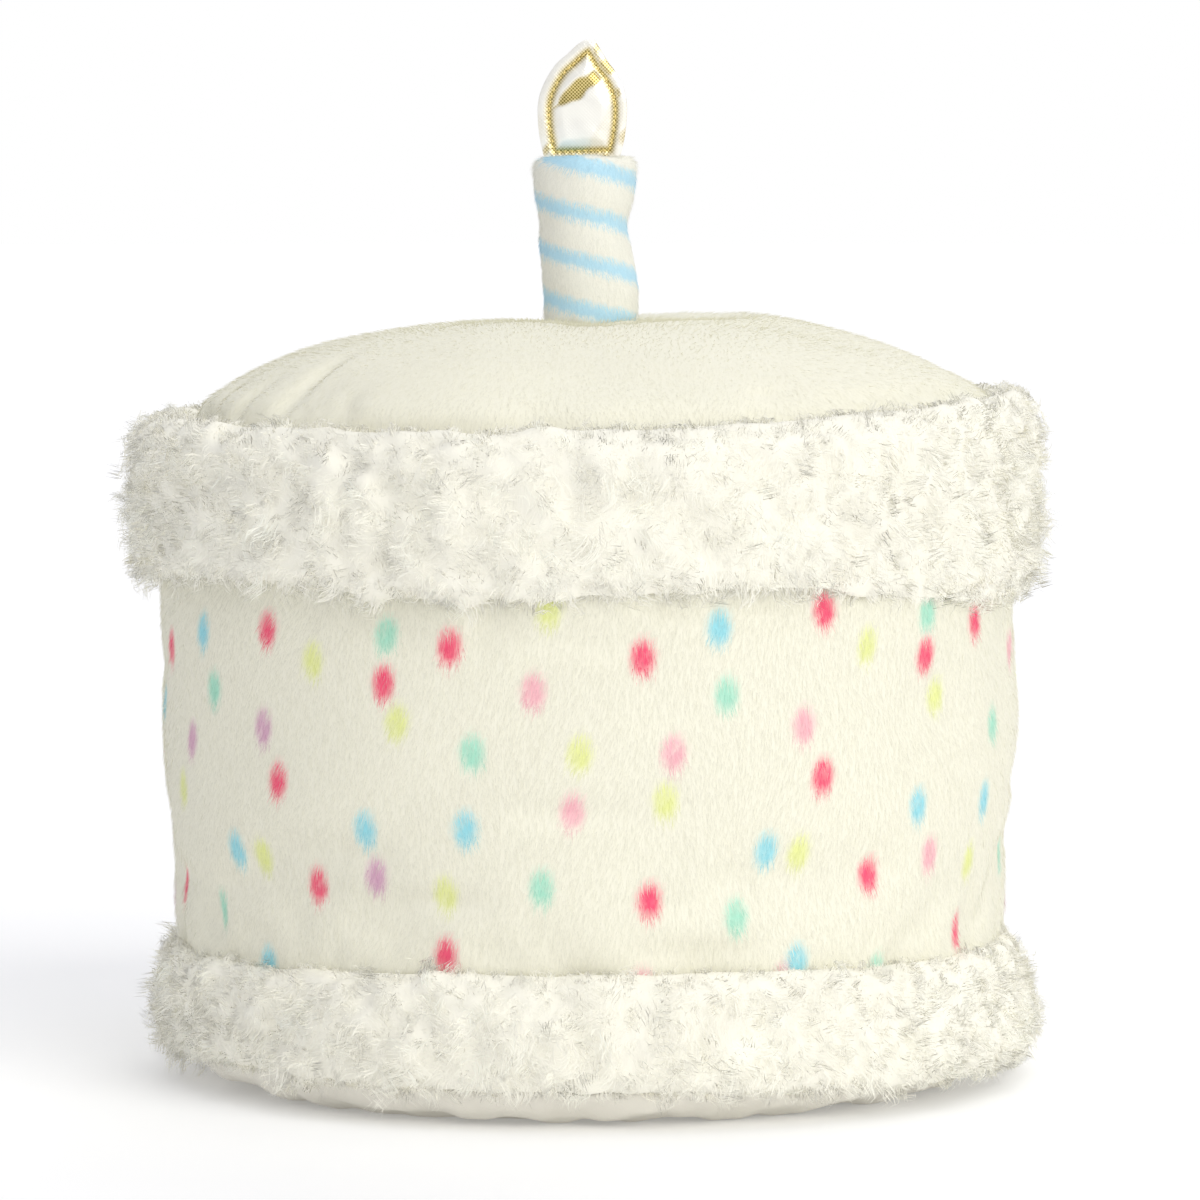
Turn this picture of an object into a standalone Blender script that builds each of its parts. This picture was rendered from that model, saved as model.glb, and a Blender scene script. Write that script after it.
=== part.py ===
"""A plush birthday cake: a stuffed round drum, two fluffy bands, a domed top, a candle and a flame.

Lengths are metres and +Z is up. The middle of the flat base is the origin, and the front faces -Y.
Each sewn panel is one closed solid, and neighbouring panels keep a small gap.
"""

from math import atan2, cos, exp, hypot, pi, sin, tau

import bmesh
import bpy

# Driving dimensions
GAP = 0.0003
FACETS = 56
TOTAL_HEIGHT = 0.229

BASE_FLAT_RADIUS = 0.072
BASE_SEAM_HEIGHT = 0.010
BASE_EDGE_STEPS = 5

WALL_LOW_RADIUS = 0.0911
WALL_FULL_RADIUS = 0.0938
WALL_NARROW_HEIGHT = 0.030
WALL_FULL_HEIGHT = 0.075
WALL_TUCK_HEIGHT = 0.118
WALL_TUCK = 0.0028
WALL_LEVELS = 13
TOP_SEAM_HEIGHT = 0.143

DOME_RISE = 0.026
DOME_SQUARENESS = 2.2
DOME_EDGE_SOFTNESS = 0.6
DOME_CENTRE_DIP = 0.0016
DOME_DIP_REACH = 0.020
DOME_HUMP = 0.0011
DOME_HUMP_RADIUS = 0.045
DOME_RINGS = (1.0, 0.985, 0.95, 0.89, 0.80, 0.68, 0.53, 0.37, 0.23)
DOME_BAND_RING = DOME_RINGS[1]

TOP_BAND_RADIUS = 0.1012
TOP_BAND_LOW = 0.1055
TOP_BAND_HIGH = 0.1478
TOP_BAND_CORNER = 0.0064
TOP_BAND_FRONT_LIFT = 0.0065

BASE_BAND_RADIUS = 0.0979
BASE_BAND_LOW = 0.0056
BASE_BAND_HIGH = 0.0335
BASE_BAND_CORNER = 0.0060

BAND_BULGE = 0.0006
BAND_CORNER_STEPS = 4
BAND_EDGE_WAVE = 0.0010
BAND_EDGE_WAVES = 5

CANDLE_FACETS = 28
CANDLE_RADIUS = 0.0104
CANDLE_FLARE = 0.0010
CANDLE_FLARE_HEIGHT = 0.188
CANDLE_FLARE_LENGTH = 0.009
CANDLE_TOP = 0.2032
CANDLE_EDGE = 0.0026
CANDLE_EDGE_STEPS = 3
CANDLE_LEVELS = 9
CANDLE_SUNK = 0.0015
RECESS_RADIUS = CANDLE_RADIUS + 2 * GAP
CANDLE_LEAN = 0.0015
CANDLE_LEAN_LENGTH = 0.026
CANDLE_PINCH = 0.0006
CANDLE_PINCH_HEIGHT = 0.187
CANDLE_PINCH_REACH = 0.007

FLAME_HALF_WIDTH = 0.0099
FLAME_TIP_HALF_WIDTH = 0.0006
FLAME_WIDEST = 0.60
FLAME_SHOULDER = 0.85
FLAME_FOOT_TURN = 0.55
FLAME_SUNK = 0.0013
FLAME_EDGE_THICKNESS = 0.0011
FLAME_PADDING = 0.0008
FLAME_ROWS = 16
FLAME_COLUMNS = 6

TOP_TILT = 0.0025
TILT_FROM = 0.080
TILT_OVER = 0.060
STUFFING_LUMP = 0.0006
SHARP_ANGLE = 0.9


def smooth_step(amount):
    """Ease from 0 to 1 without a corner at either end."""
    held = min(max(amount, 0.0), 1.0)
    return held * held * (3.0 - 2.0 * held)


def wall_radius(height):
    """The stuffed side: narrower low down, fullest above the middle, drawn in at the top seam."""
    fullness = smooth_step((height - WALL_NARROW_HEIGHT) / (WALL_FULL_HEIGHT - WALL_NARROW_HEIGHT))
    tucked = smooth_step((height - WALL_TUCK_HEIGHT) / (TOP_SEAM_HEIGHT - WALL_TUCK_HEIGHT))
    return WALL_LOW_RADIUS + fullness * (WALL_FULL_RADIUS - WALL_LOW_RADIUS) - tucked * WALL_TUCK


def wall_heights(low, high):
    """The shared levels of the side that lie between two heights, with both ends added."""
    step = (TOP_SEAM_HEIGHT - BASE_SEAM_HEIGHT) / (WALL_LEVELS - 1)
    shared = [BASE_SEAM_HEIGHT + step * level for level in range(WALL_LEVELS)]
    margin = step / 5
    return [low] + [height for height in shared if low + margin < height < high - margin] + [high]


def dome_height(radius):
    """The crowned top, which dips a little at the candle's foot."""
    share = min(radius / wall_radius(TOP_SEAM_HEIGHT), 1.0)
    crown = DOME_RISE * (1.0 - share ** DOME_SQUARENESS) ** DOME_EDGE_SOFTNESS
    return TOP_SEAM_HEIGHT + crown - DOME_CENTRE_DIP * exp(-((radius / DOME_DIP_REACH) ** 2))


def base_edge(turn, offset=0.0):
    """A point on the base's rounded edge: turn 0 is on the floor and a quarter turn is the seam."""
    reach = wall_radius(BASE_SEAM_HEIGHT) - BASE_FLAT_RADIUS + offset
    rise = BASE_SEAM_HEIGHT + offset
    return (BASE_FLAT_RADIUS + reach * sin(turn), BASE_SEAM_HEIGHT - rise * cos(turn))


def corner(centre_radius, centre_height, size, start, steps=BAND_CORNER_STEPS):
    """A quarter arc of points, running clockwise as seen with the outside on the right."""
    turns = [start - (pi / 2) * step / steps for step in range(steps + 1)]
    return [(centre_radius + size * cos(turn), centre_height + size * sin(turn)) for turn in turns]


def turned(outline, facets, ring=False):
    """Turn an outline of (radius, height) points round the axis into a closed mesh."""
    mesh = bmesh.new()
    points = [mesh.verts.new((radius, 0.0, height)) for radius, height in outline]
    pairs = list(zip(points, points[1:]))
    if ring:
        pairs.append((points[-1], points[0]))
    edges = [mesh.edges.new(pair) for pair in pairs]
    bmesh.ops.spin(mesh, geom=points + edges, cent=(0, 0, 0), axis=(0, 0, 1), angle=tau,
                   steps=facets, use_merge=True)
    bmesh.ops.remove_doubles(mesh, verts=mesh.verts, dist=1e-6)
    bmesh.ops.recalc_face_normals(mesh, faces=mesh.faces)
    return mesh


def reshape(mesh, rule):
    """Move each point by a rule on its angle round the axis, its radius and its height."""
    for vert in mesh.verts:
        angle = atan2(vert.co.y, vert.co.x)
        radius, height = rule(angle, hypot(vert.co.x, vert.co.y), vert.co.z)
        vert.co = (radius * cos(angle), radius * sin(angle), height)


def hand_stuffed(angle, radius, height):
    """The unevenness of a filled toy, the same for every panel: soft lumps and a tilted top."""
    share = sin(pi * min(height / TOP_SEAM_HEIGHT, 1.0))
    lump = sin(2 * angle + 0.8) + 0.6 * sin(3 * angle + 30.0 * height)
    spread = 1.0 + STUFFING_LUMP * share * lump / WALL_FULL_RADIUS
    tilt = TOP_TILT * smooth_step((height - TILT_FROM) / TILT_OVER)
    return radius * spread, height + tilt * radius * cos(angle) / WALL_FULL_RADIUS


def band_edges(lift, low, high):
    """A rule that lifts a band's lower edge at the front and lets both edges wave a little."""
    def rule(angle, radius, height):
        share = smooth_step((height - low) / (high - low))
        wave = BAND_EDGE_WAVE * sin(BAND_EDGE_WAVES * angle + 1.0)
        raised = (lift * max(0.0, -sin(angle)) ** 2 + wave) * (1.0 - share)
        moved = height + raised
        return radius + wall_radius(moved) - wall_radius(height), moved
    return rule


def dome_humps(angle, radius, height):
    """Two soft humps in the filling of the top, one ahead of the candle and one behind."""
    share = max(0.0, radius - RECESS_RADIUS) / DOME_HUMP_RADIUS
    above = smooth_step((height - TOP_SEAM_HEIGHT) / (DOME_RISE / 2))
    return radius, height + DOME_HUMP * above * share * exp(1.0 - share) * cos(2 * angle - 1.9)


def candle_radius(height):
    """A slim tube that swells a little towards its top."""
    swell = smooth_step((height - CANDLE_FLARE_HEIGHT) / CANDLE_FLARE_LENGTH)
    return CANDLE_RADIUS + CANDLE_FLARE * swell


def candle_centre(height):
    """How far the candle's middle has leaned towards -X at a height."""
    risen = (height - dome_height(CANDLE_RADIUS)) / CANDLE_LEAN_LENGTH
    return -CANDLE_LEAN * smooth_step(risen)


def flame_half_width(share):
    """Half the flame's width, from its tip at share 0 to the candle's top at share 1."""
    if share < FLAME_WIDEST:
        fullness = sin(pi / 2 * (max(share, 0.0) / FLAME_WIDEST) ** FLAME_SHOULDER)
    else:
        fullness = cos(FLAME_FOOT_TURN * (share - FLAME_WIDEST) / (1.0 - FLAME_WIDEST))
    return max(FLAME_HALF_WIDTH * fullness, FLAME_TIP_HALF_WIDTH)


def base_panel():
    """The plain base: flat under the middle, and rounded up to its seam."""
    turns = [pi / 2 * step / BASE_EDGE_STEPS for step in range(BASE_EDGE_STEPS)]
    outline = [(0.0, 0.0)] + [base_edge(turn) for turn in turns]
    seam = BASE_SEAM_HEIGHT - GAP
    outline += [(wall_radius(BASE_SEAM_HEIGHT), seam), (0.0, seam)]
    return turned(outline, FACETS)


def drum():
    """The stuffed side, from the base's seam to the top's."""
    levels = wall_heights(BASE_SEAM_HEIGHT, TOP_SEAM_HEIGHT - GAP)
    outline = [(0.0, levels[0])] + [(wall_radius(height), height) for height in levels]
    return turned(outline + [(0.0, levels[-1])], FACETS)


def top_panel():
    """The crowned top, with a shallow recess for the candle's foot."""
    seam_radius = wall_radius(TOP_SEAM_HEIGHT)
    floor = dome_height(CANDLE_RADIUS) - CANDLE_SUNK - GAP
    rings = [(seam_radius * share, dome_height(seam_radius * share)) for share in DOME_RINGS]
    outline = [(0.0, TOP_SEAM_HEIGHT)] + rings + [(RECESS_RADIUS, dome_height(RECESS_RADIUS))]
    outline += [(RECESS_RADIUS, floor), (0.0, floor)]
    mesh = turned(outline, FACETS)
    reshape(mesh, dome_humps)
    return mesh


def top_band():
    """The fluffy roll that hides the top seam, from the dome's rim down over the side."""
    rim_radius = wall_radius(TOP_SEAM_HEIGHT) * DOME_BAND_RING
    inner = [(wall_radius(height) + GAP, height)
             for height in wall_heights(TOP_BAND_LOW + TOP_BAND_CORNER / 4, TOP_SEAM_HEIGHT)]
    inner.append((rim_radius + GAP, dome_height(rim_radius)))
    centre = TOP_BAND_RADIUS - TOP_BAND_CORNER
    upper = corner(centre, TOP_BAND_HIGH - TOP_BAND_CORNER, TOP_BAND_CORNER, pi / 2)
    middle = (TOP_BAND_RADIUS + BAND_BULGE, (TOP_BAND_LOW + TOP_BAND_HIGH) / 2)
    lower = corner(centre, TOP_BAND_LOW + TOP_BAND_CORNER, TOP_BAND_CORNER, 0.0)
    mesh = turned(inner + upper + [middle] + lower, FACETS, ring=True)
    reshape(mesh, band_edges(TOP_BAND_FRONT_LIFT, TOP_BAND_LOW, TOP_SEAM_HEIGHT))
    return mesh


def base_band():
    """The fluffy roll round the foot, from the base's rounded edge up over the side."""
    inner = [base_edge(pi / 2 * (1 - 1 / BASE_EDGE_STEPS), GAP)]
    inner += [(wall_radius(height) + GAP, height)
              for height in wall_heights(BASE_SEAM_HEIGHT, BASE_BAND_HIGH - BASE_BAND_CORNER / 4)]
    centre = BASE_BAND_RADIUS - BASE_BAND_CORNER
    upper = corner(centre, BASE_BAND_HIGH - BASE_BAND_CORNER, BASE_BAND_CORNER, pi / 2)
    middle = (BASE_BAND_RADIUS + BAND_BULGE, (BASE_BAND_LOW + BASE_BAND_HIGH) / 2)
    lower = corner(centre, BASE_BAND_LOW + BASE_BAND_CORNER, BASE_BAND_CORNER, 0.0)
    return turned(inner + upper + [middle] + lower, FACETS, ring=True)


def candle():
    """The soft candle: a leaning tube with a rounded top and a pinch on one side."""
    foot = dome_height(CANDLE_RADIUS) - CANDLE_SUNK
    shoulder = CANDLE_TOP - CANDLE_EDGE
    step = (shoulder - foot) / CANDLE_LEVELS
    heights = [foot + step * level for level in range(CANDLE_LEVELS)]
    side = [(candle_radius(height), height) for height in heights]
    rounded = corner(candle_radius(shoulder) - CANDLE_EDGE, shoulder, CANDLE_EDGE, pi / 2,
                     CANDLE_EDGE_STEPS)
    mesh = turned([(0.0, foot)] + side + rounded[::-1] + [(0.0, CANDLE_TOP)], CANDLE_FACETS)
    for vert in mesh.verts:
        height = vert.co.z
        near = exp(-(((height - CANDLE_PINCH_HEIGHT) / CANDLE_PINCH_REACH) ** 2))
        side_share = max(vert.co.x, 0.0) / CANDLE_RADIUS
        vert.co.x += candle_centre(height) - CANDLE_PINCH * near * side_share
    return mesh


def flame():
    """The flat flame: a pointed oval, padded towards its middle."""
    shown = TOTAL_HEIGHT - CANDLE_TOP
    mesh = bmesh.new()
    bmesh.ops.create_grid(mesh, x_segments=FLAME_COLUMNS, y_segments=FLAME_ROWS, size=1.0)
    for vert in mesh.verts:
        share = (1.0 - vert.co.y) / 2 * (1.0 + FLAME_SUNK / shown)
        height = TOTAL_HEIGHT - share * shown
        width = vert.co.x * flame_half_width(share)
        vert.co = (candle_centre(height) + width, -FLAME_EDGE_THICKNESS / 2, height)
    front = mesh.verts[:]
    extruded = bmesh.ops.extrude_face_region(mesh, geom=mesh.faces[:])
    back = [item for item in extruded["geom"] if isinstance(item, bmesh.types.BMVert)]
    bmesh.ops.translate(mesh, verts=back, vec=(0, FLAME_EDGE_THICKNESS, 0))
    for verts, side in ((front, -1), (back, 1)):
        for vert in verts:
            share = (TOTAL_HEIGHT - vert.co.z) / shown
            across = (vert.co.x - candle_centre(vert.co.z)) / flame_half_width(share)
            swell = max(0.0, 1.0 - across ** 2) * max(0.0, sin(pi * share))
            vert.co.y += side * FLAME_PADDING * swell
    bmesh.ops.recalc_face_normals(mesh, faces=mesh.faces)
    return mesh


def flame_slot():
    """The cutter for the slot in the candle's top that the flame's foot stands in."""
    mesh = bmesh.new()
    width = 2 * (flame_half_width(1.0) + GAP)
    depth = FLAME_EDGE_THICKNESS + 2 * GAP
    height = 2 * (FLAME_SUNK + GAP)
    bmesh.ops.create_cube(mesh, size=1.0)
    bmesh.ops.scale(mesh, verts=mesh.verts, vec=(width, depth, height))
    bmesh.ops.translate(mesh, verts=mesh.verts, vec=(candle_centre(CANDLE_TOP), 0, CANDLE_TOP))
    return mesh


def material(name, colour, roughness, metallic=0.0):
    """A plain Principled material."""
    made = bpy.data.materials.new(name)
    made.use_nodes = True
    shader = made.node_tree.nodes["Principled BSDF"]
    shader.inputs["Base Color"].default_value = (*colour, 1.0)
    shader.inputs["Roughness"].default_value = roughness
    shader.inputs["Metallic"].default_value = metallic
    return made


def add_object(name, mesh, look=None):
    """Turn a mesh under construction into a smooth-shaded object in the scene."""
    reshape(mesh, hand_stuffed)
    data = bpy.data.meshes.new(name)
    mesh.to_mesh(data)
    mesh.free()
    data.shade_smooth()
    data.set_sharp_from_angle(angle=SHARP_ANGLE)
    made = bpy.data.objects.new(name, data)
    bpy.context.scene.collection.objects.link(made)
    if look:
        data.materials.append(look)
    return made


def cut(target, cutter):
    """Take a hidden cutter's shape out of an object."""
    cutter.hide_render = True
    cutter.display_type = "WIRE"
    boolean = target.modifiers.new("Slot", "BOOLEAN")
    boolean.operation = "DIFFERENCE"
    boolean.solver = "EXACT"
    boolean.object = cutter


def build():
    """Clear the scene and make every piece."""
    for old in list(bpy.data.objects):
        bpy.data.objects.remove(old, do_unlink=True)
    add_object("base_panel", base_panel(), material("smooth_base_cloth", (0.80, 0.79, 0.73), 0.80))
    add_object("drum", drum(), material("printed_short_pile", (0.90, 0.88, 0.80), 0.85))
    add_object("top_panel", top_panel(), material("plain_short_pile", (0.88, 0.87, 0.80), 0.85))
    add_object("top_band", top_band(), material("top_fluffy_pile", (0.93, 0.92, 0.87), 0.70))
    add_object("base_band", base_band(), material("base_fluffy_pile", (0.91, 0.90, 0.85), 0.70))
    stick = add_object("candle", candle(), material("striped_short_pile", (0.72, 0.82, 0.90), 0.85))
    add_object("flame", flame(), material("gold_lame", (0.83, 0.70, 0.36), 0.25, 1.0))
    cut(stick, add_object("flame_slot", flame_slot()))


build()
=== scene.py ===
"""The looks of a plush birthday cake: printed pile, fluffy bands, a striped candle, a gold flame."""

from math import cos, pi, radians, sin, tau
import bmesh
import bpy
import numpy as np
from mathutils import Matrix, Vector, geometry, kdtree


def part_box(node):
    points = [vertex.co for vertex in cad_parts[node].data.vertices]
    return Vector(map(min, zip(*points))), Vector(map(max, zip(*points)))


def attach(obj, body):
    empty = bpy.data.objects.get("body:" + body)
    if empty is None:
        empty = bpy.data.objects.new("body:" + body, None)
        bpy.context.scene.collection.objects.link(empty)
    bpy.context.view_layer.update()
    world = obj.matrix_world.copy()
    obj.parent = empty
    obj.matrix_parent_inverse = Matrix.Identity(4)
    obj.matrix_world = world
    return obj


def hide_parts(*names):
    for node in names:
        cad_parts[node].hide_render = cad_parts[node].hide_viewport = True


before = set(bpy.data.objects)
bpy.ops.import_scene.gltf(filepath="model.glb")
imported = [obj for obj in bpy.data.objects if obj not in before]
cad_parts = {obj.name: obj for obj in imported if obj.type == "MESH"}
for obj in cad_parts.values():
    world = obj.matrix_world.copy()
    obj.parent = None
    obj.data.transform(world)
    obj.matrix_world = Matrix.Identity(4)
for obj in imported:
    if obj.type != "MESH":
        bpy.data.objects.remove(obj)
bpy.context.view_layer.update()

MM = 0.001
LEVEL = np.array([1.0, 1.0, 0.0])
DOWN = np.array([0.0, 0.0, -1.0])
WHITE = (1.0, 1.0, 1.0)

# --------------------------------------
# Places taken from the frame
# --------------------------------------
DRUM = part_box("drum")
TOP_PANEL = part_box("top_panel")
TOP_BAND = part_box("top_band")
BASE_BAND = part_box("base_band")
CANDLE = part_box("candle")
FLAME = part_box("flame")
DRUM_RADIUS = (DRUM[1].x - DRUM[0].x) / 2

# --------------------------------------
# Colours, as linear red, green and blue
# --------------------------------------
CREAM = (0.895, 0.875, 0.735)
DOME_CREAM = (0.885, 0.865, 0.725)
FLUFF_WHITE = (0.975, 0.952, 0.840)
BASE_CLOTH = (0.84, 0.81, 0.72)
CANDLE_WHITE = (0.90, 0.89, 0.80)
CANDLE_BLUE = (0.52, 0.78, 0.90)
RASPBERRY = (0.93, 0.10, 0.20)
PINK = (0.93, 0.50, 0.55)
MAUVE = (0.72, 0.42, 0.56)
LIME = (0.83, 0.87, 0.36)
MINT = (0.43, 0.80, 0.62)
SKY = (0.34, 0.74, 0.81)

# The printed dots: colour, then (degrees round from the front, positive to the right, mm up)
DOTS = (
    (RASPBERRY, ((-46, 104), (-27, 94), (-18, 102), (7, 100), (32, 109), (50, 98), (62, 104),
                 (-44, 72), (-39, 50), (32, 74), (8, 49), (41, 52), (-19, 37), (62, 37),
                 (-78, 44), (-74, 97), (88, 71))),
    (PINK, ((-7, 93), (11, 80), (29, 85), (-2, 68), (52, 55), (7, 31), (27, 31), (78, 96),
            (-86, 58))),
    (MAUVE, ((-47, 83), (-29, 53), (-65, 78), (91, 39))),
    (LIME, ((-5, 110), (-38, 98), (-25, 86), (-1, 80), (39, 101), (53, 89), (10, 70), (29, 58),
            (-49, 55), (-19, 50), (63, 52), (-69, 67), (90, 88))),
    (MINT, ((-27, 104), (-58, 90), (-15, 80), (-6, 52), (18, 92), (50, 107), (68, 81),
            (20, 45), (43, 31), (-60, 42), (82, 50))),
    (SKY, ((-61, 102), (17, 106), (-30, 63), (-16, 64), (-54, 56), (24, 59), (-49, 32), (29, 35),
           (49, 66), (66, 65), (-82, 84))),
)
DOT_HALF_WIDTH = 2.7 * MM
DOT_HALF_HEIGHT = 3.8 * MM
PRINT_REPEAT = 180


# --------------------------------------
# Fields and small helpers
# --------------------------------------
def ripples(points, wavelength, seed, waves=18):
    """A smooth random field over points, mostly between -1 and 1, a wavelength across."""
    draw = np.random.default_rng(seed)
    ways = draw.normal(size=(waves, 3))
    ways /= np.linalg.norm(ways, axis=1)[:, None]
    lengths = wavelength * draw.uniform(0.7, 1.7, waves)
    phases = draw.uniform(0, tau, waves)
    return np.sin(points @ (ways * (tau / lengths)[:, None]).T + phases).sum(1) / waves ** 0.5


def ease(amount):
    """Ease from 0 to 1 over an array."""
    held = np.clip(amount, 0.0, 1.0)
    return held * held * (3.0 - 2.0 * held)


def unit(vectors):
    """Vectors cut to a length of one."""
    return vectors / np.maximum(np.linalg.norm(vectors, axis=1), 1e-12)[:, None]


def angles_of(points):
    """Degrees round from the front, positive to the right, for each point."""
    return np.degrees(np.arctan2(points[:, 0], -points[:, 1]))


def points_of(piece):
    """A piece's points as an array."""
    found = np.empty(len(piece.data.vertices) * 3)
    piece.data.vertices.foreach_get("co", found)
    return found.reshape(-1, 3)


def normals_of(piece):
    """A piece's point normals as an array."""
    found = np.empty(len(piece.data.vertices) * 3)
    piece.data.vertices.foreach_get("normal", found)
    return found.reshape(-1, 3)


def move_points(piece, points):
    """Put a piece's points in new places."""
    piece.data.vertices.foreach_set("co", np.ascontiguousarray(points, float).ravel())
    piece.data.update()


def tree_of(places):
    """A search tree over places."""
    tree = kdtree.KDTree(len(places))
    for index, place in enumerate(places):
        tree.insert(place, index)
    tree.balance()
    return tree


def from_axis(points):
    """How far each point is from the cake's upright middle line."""
    return np.hypot(points[:, 0], points[:, 1])


def finished(mesh, name):
    """A working mesh turned into mesh data."""
    data = bpy.data.meshes.new(name)
    mesh.to_mesh(data)
    mesh.free()
    return data


def round_off(piece, levels):
    """Round a piece's facets by subdivision."""
    rounding = piece.modifiers.new("Rounding", "SUBSURF")
    rounding.levels = rounding.render_levels = levels
    apply_modifiers(piece)


def new_piece(name, mesh, node, look):
    """A finished piece that rides on the body and stands for a node."""
    piece = bpy.data.objects.new(name, mesh)
    bpy.context.scene.collection.objects.link(piece)
    mesh.materials.append(look)
    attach(piece, "root")
    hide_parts(node)
    return piece


def soft_copy(name, node, levels, look, inset=0.0):
    """A copy of a node's solid, its facets rounded into a finer, softer skin."""
    mesh = bmesh.new()
    mesh.from_mesh(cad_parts[node].data)
    bmesh.ops.remove_doubles(mesh, verts=mesh.verts, dist=1e-6)
    bmesh.ops.join_triangles(mesh, faces=mesh.faces, angle_face_threshold=0.7,
                             angle_shape_threshold=3.1)
    bmesh.ops.recalc_face_normals(mesh, faces=mesh.faces)
    data = finished(mesh, name)
    data.shade_smooth()
    piece = new_piece(name, data, node, look)
    round_off(piece, levels)
    if inset:
        move_points(piece, points_of(piece) - normals_of(piece) * inset)
    return piece


def apply_modifiers(piece):
    """Turn what a piece's modifiers make of it into its own mesh."""
    seen = piece.evaluated_get(bpy.context.evaluated_depsgraph_get())
    made = bpy.data.meshes.new_from_object(seen)
    piece.modifiers.clear()
    old = piece.data
    piece.data = made
    made.name = piece.name
    bpy.data.meshes.remove(old)


CLOTH_GRAIN = 5 * MM
CLOTH_FRAMES = 20
CLOTH_STIFFNESS = 15.0
CLOTH_BENDING = 0.1
CLOTH_MASS = 0.15
CLOTH_QUALITY = 6
NEIGHBOURS = 6


def stuffing_folds(piece, held, pressure, slack, most):
    """Move a skin as its cloth settles over the filling's pressure, no further than most.

    The simulation runs on a coarser copy. held says how firmly each place is sewn down, and slack
    is the share of spare cloth between the seams.
    """
    coarse = bpy.data.objects.new("settling", piece.data.copy())
    bpy.context.scene.collection.objects.link(coarse)
    grain = coarse.modifiers.new("Grain", "REMESH")
    grain.mode = "VOXEL"
    grain.voxel_size = CLOTH_GRAIN
    apply_modifiers(coarse)
    before = points_of(coarse)
    group = coarse.vertex_groups.new(name="held")
    for index, weight in enumerate(held(before)):
        group.add([index], float(weight), "REPLACE")
    cloth = coarse.modifiers.new("Cloth", "CLOTH")
    cloth.settings.quality = CLOTH_QUALITY
    cloth.settings.mass = CLOTH_MASS
    cloth.settings.tension_stiffness = CLOTH_STIFFNESS
    cloth.settings.compression_stiffness = CLOTH_STIFFNESS
    cloth.settings.bending_stiffness = CLOTH_BENDING
    cloth.settings.use_pressure = True
    cloth.settings.uniform_pressure_force = pressure
    cloth.settings.shrink_min = cloth.settings.shrink_max = -slack
    cloth.settings.vertex_group_mass = "held"
    cloth.settings.effector_weights.gravity = 0.0
    cloth.point_cache.frame_start, cloth.point_cache.frame_end = 1, CLOTH_FRAMES
    for frame_number in range(1, CLOTH_FRAMES + 1):
        bpy.context.scene.frame_set(frame_number)
    apply_modifiers(coarse)
    moved = points_of(coarse) - before
    bpy.data.objects.remove(coarse)
    bpy.context.scene.frame_set(1)
    far = np.linalg.norm(moved, axis=1)
    moved *= np.minimum(1.0, most / np.maximum(far, 1e-9))[:, None]
    tree = tree_of(before)
    spots = points_of(piece)
    shift = np.zeros_like(spots)
    for index, spot in enumerate(spots):
        near = tree.find_n(spot, NEIGHBOURS)
        weights = np.array([1.0 / (0.5 * MM + hit[2]) ** 2 for hit in near])
        shift[index] = (moved[[hit[1] for hit in near]] * weights[:, None]).sum(0) / weights.sum()
    move_points(piece, spots + shift)


# --------------------------------------
# Pile: small tapered strands joined into one mesh
# --------------------------------------
def strand_template(steps):
    """One flat strand, as points of (side, share of length) and triangles, narrowing to its tip."""
    mesh = bmesh.new()
    low = [mesh.verts.new((side, 0, 0)) for side in (-0.5, 0.5)]
    edge = mesh.edges.new(low)
    for step in range(1, steps + 1):
        grown = bmesh.ops.extrude_edge_only(mesh, edges=[edge])["geom"]
        verts = [item for item in grown if isinstance(item, bmesh.types.BMVert)]
        edge = next(item for item in grown if isinstance(item, bmesh.types.BMEdge)
                    and all(vert in verts for vert in item.verts))
        for vert in verts:
            vert.co.z = step / steps
            vert.co.x = (0.5 if vert.co.x > 0 else -0.5) * (1.0 - 0.55 * step / steps)
    bmesh.ops.pointmerge(mesh, verts=list(edge.verts), merge_co=(0, 0, 1))
    bmesh.ops.triangulate(mesh, faces=mesh.faces)
    mesh.verts.index_update()
    places = np.array([(vert.co.x, vert.co.z) for vert in mesh.verts])
    corners = np.array([[vert.index for vert in face.verts] for face in mesh.faces])
    mesh.free()
    spans = places[corners[:, 1:]] - places[corners[:, :1]]
    turned = spans[:, 0, 0] * spans[:, 1, 1] < spans[:, 0, 1] * spans[:, 1, 0]
    corners[turned] = corners[turned][:, ::-1]
    return places, corners


def roots_on(piece, count, seed, weight=None):
    """Even random places on a piece: their points, their normals."""
    draw = np.random.default_rng(seed)
    mesh = piece.data
    mesh.calc_loop_triangles()
    triangles = np.empty(len(mesh.loop_triangles) * 3, int)
    mesh.loop_triangles.foreach_get("vertices", triangles)
    corners = points_of(piece)[triangles].reshape(-1, 3, 3)
    normals = normals_of(piece)[triangles].reshape(-1, 3, 3)
    spans = np.cross(corners[:, 1] - corners[:, 0], corners[:, 2] - corners[:, 0])
    share = np.linalg.norm(spans, axis=1)
    if weight is not None:
        share = share * weight(corners.mean(1), normals.mean(1))
    running = np.cumsum(share)
    picks = (np.arange(count) + draw.uniform(0, 1, count)) / count * running[-1]
    chosen = np.minimum(np.searchsorted(running, picks), len(running) - 1)
    first, second = draw.uniform(0, 1, (2, count))
    folded = first + second > 1
    first[folded], second[folded] = 1 - first[folded], 1 - second[folded]
    mix = np.stack([1 - first - second, first, second], 1)[:, :, None]
    return (corners[chosen] * mix).sum(1), unit((normals[chosen] * mix).sum(1))


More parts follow.
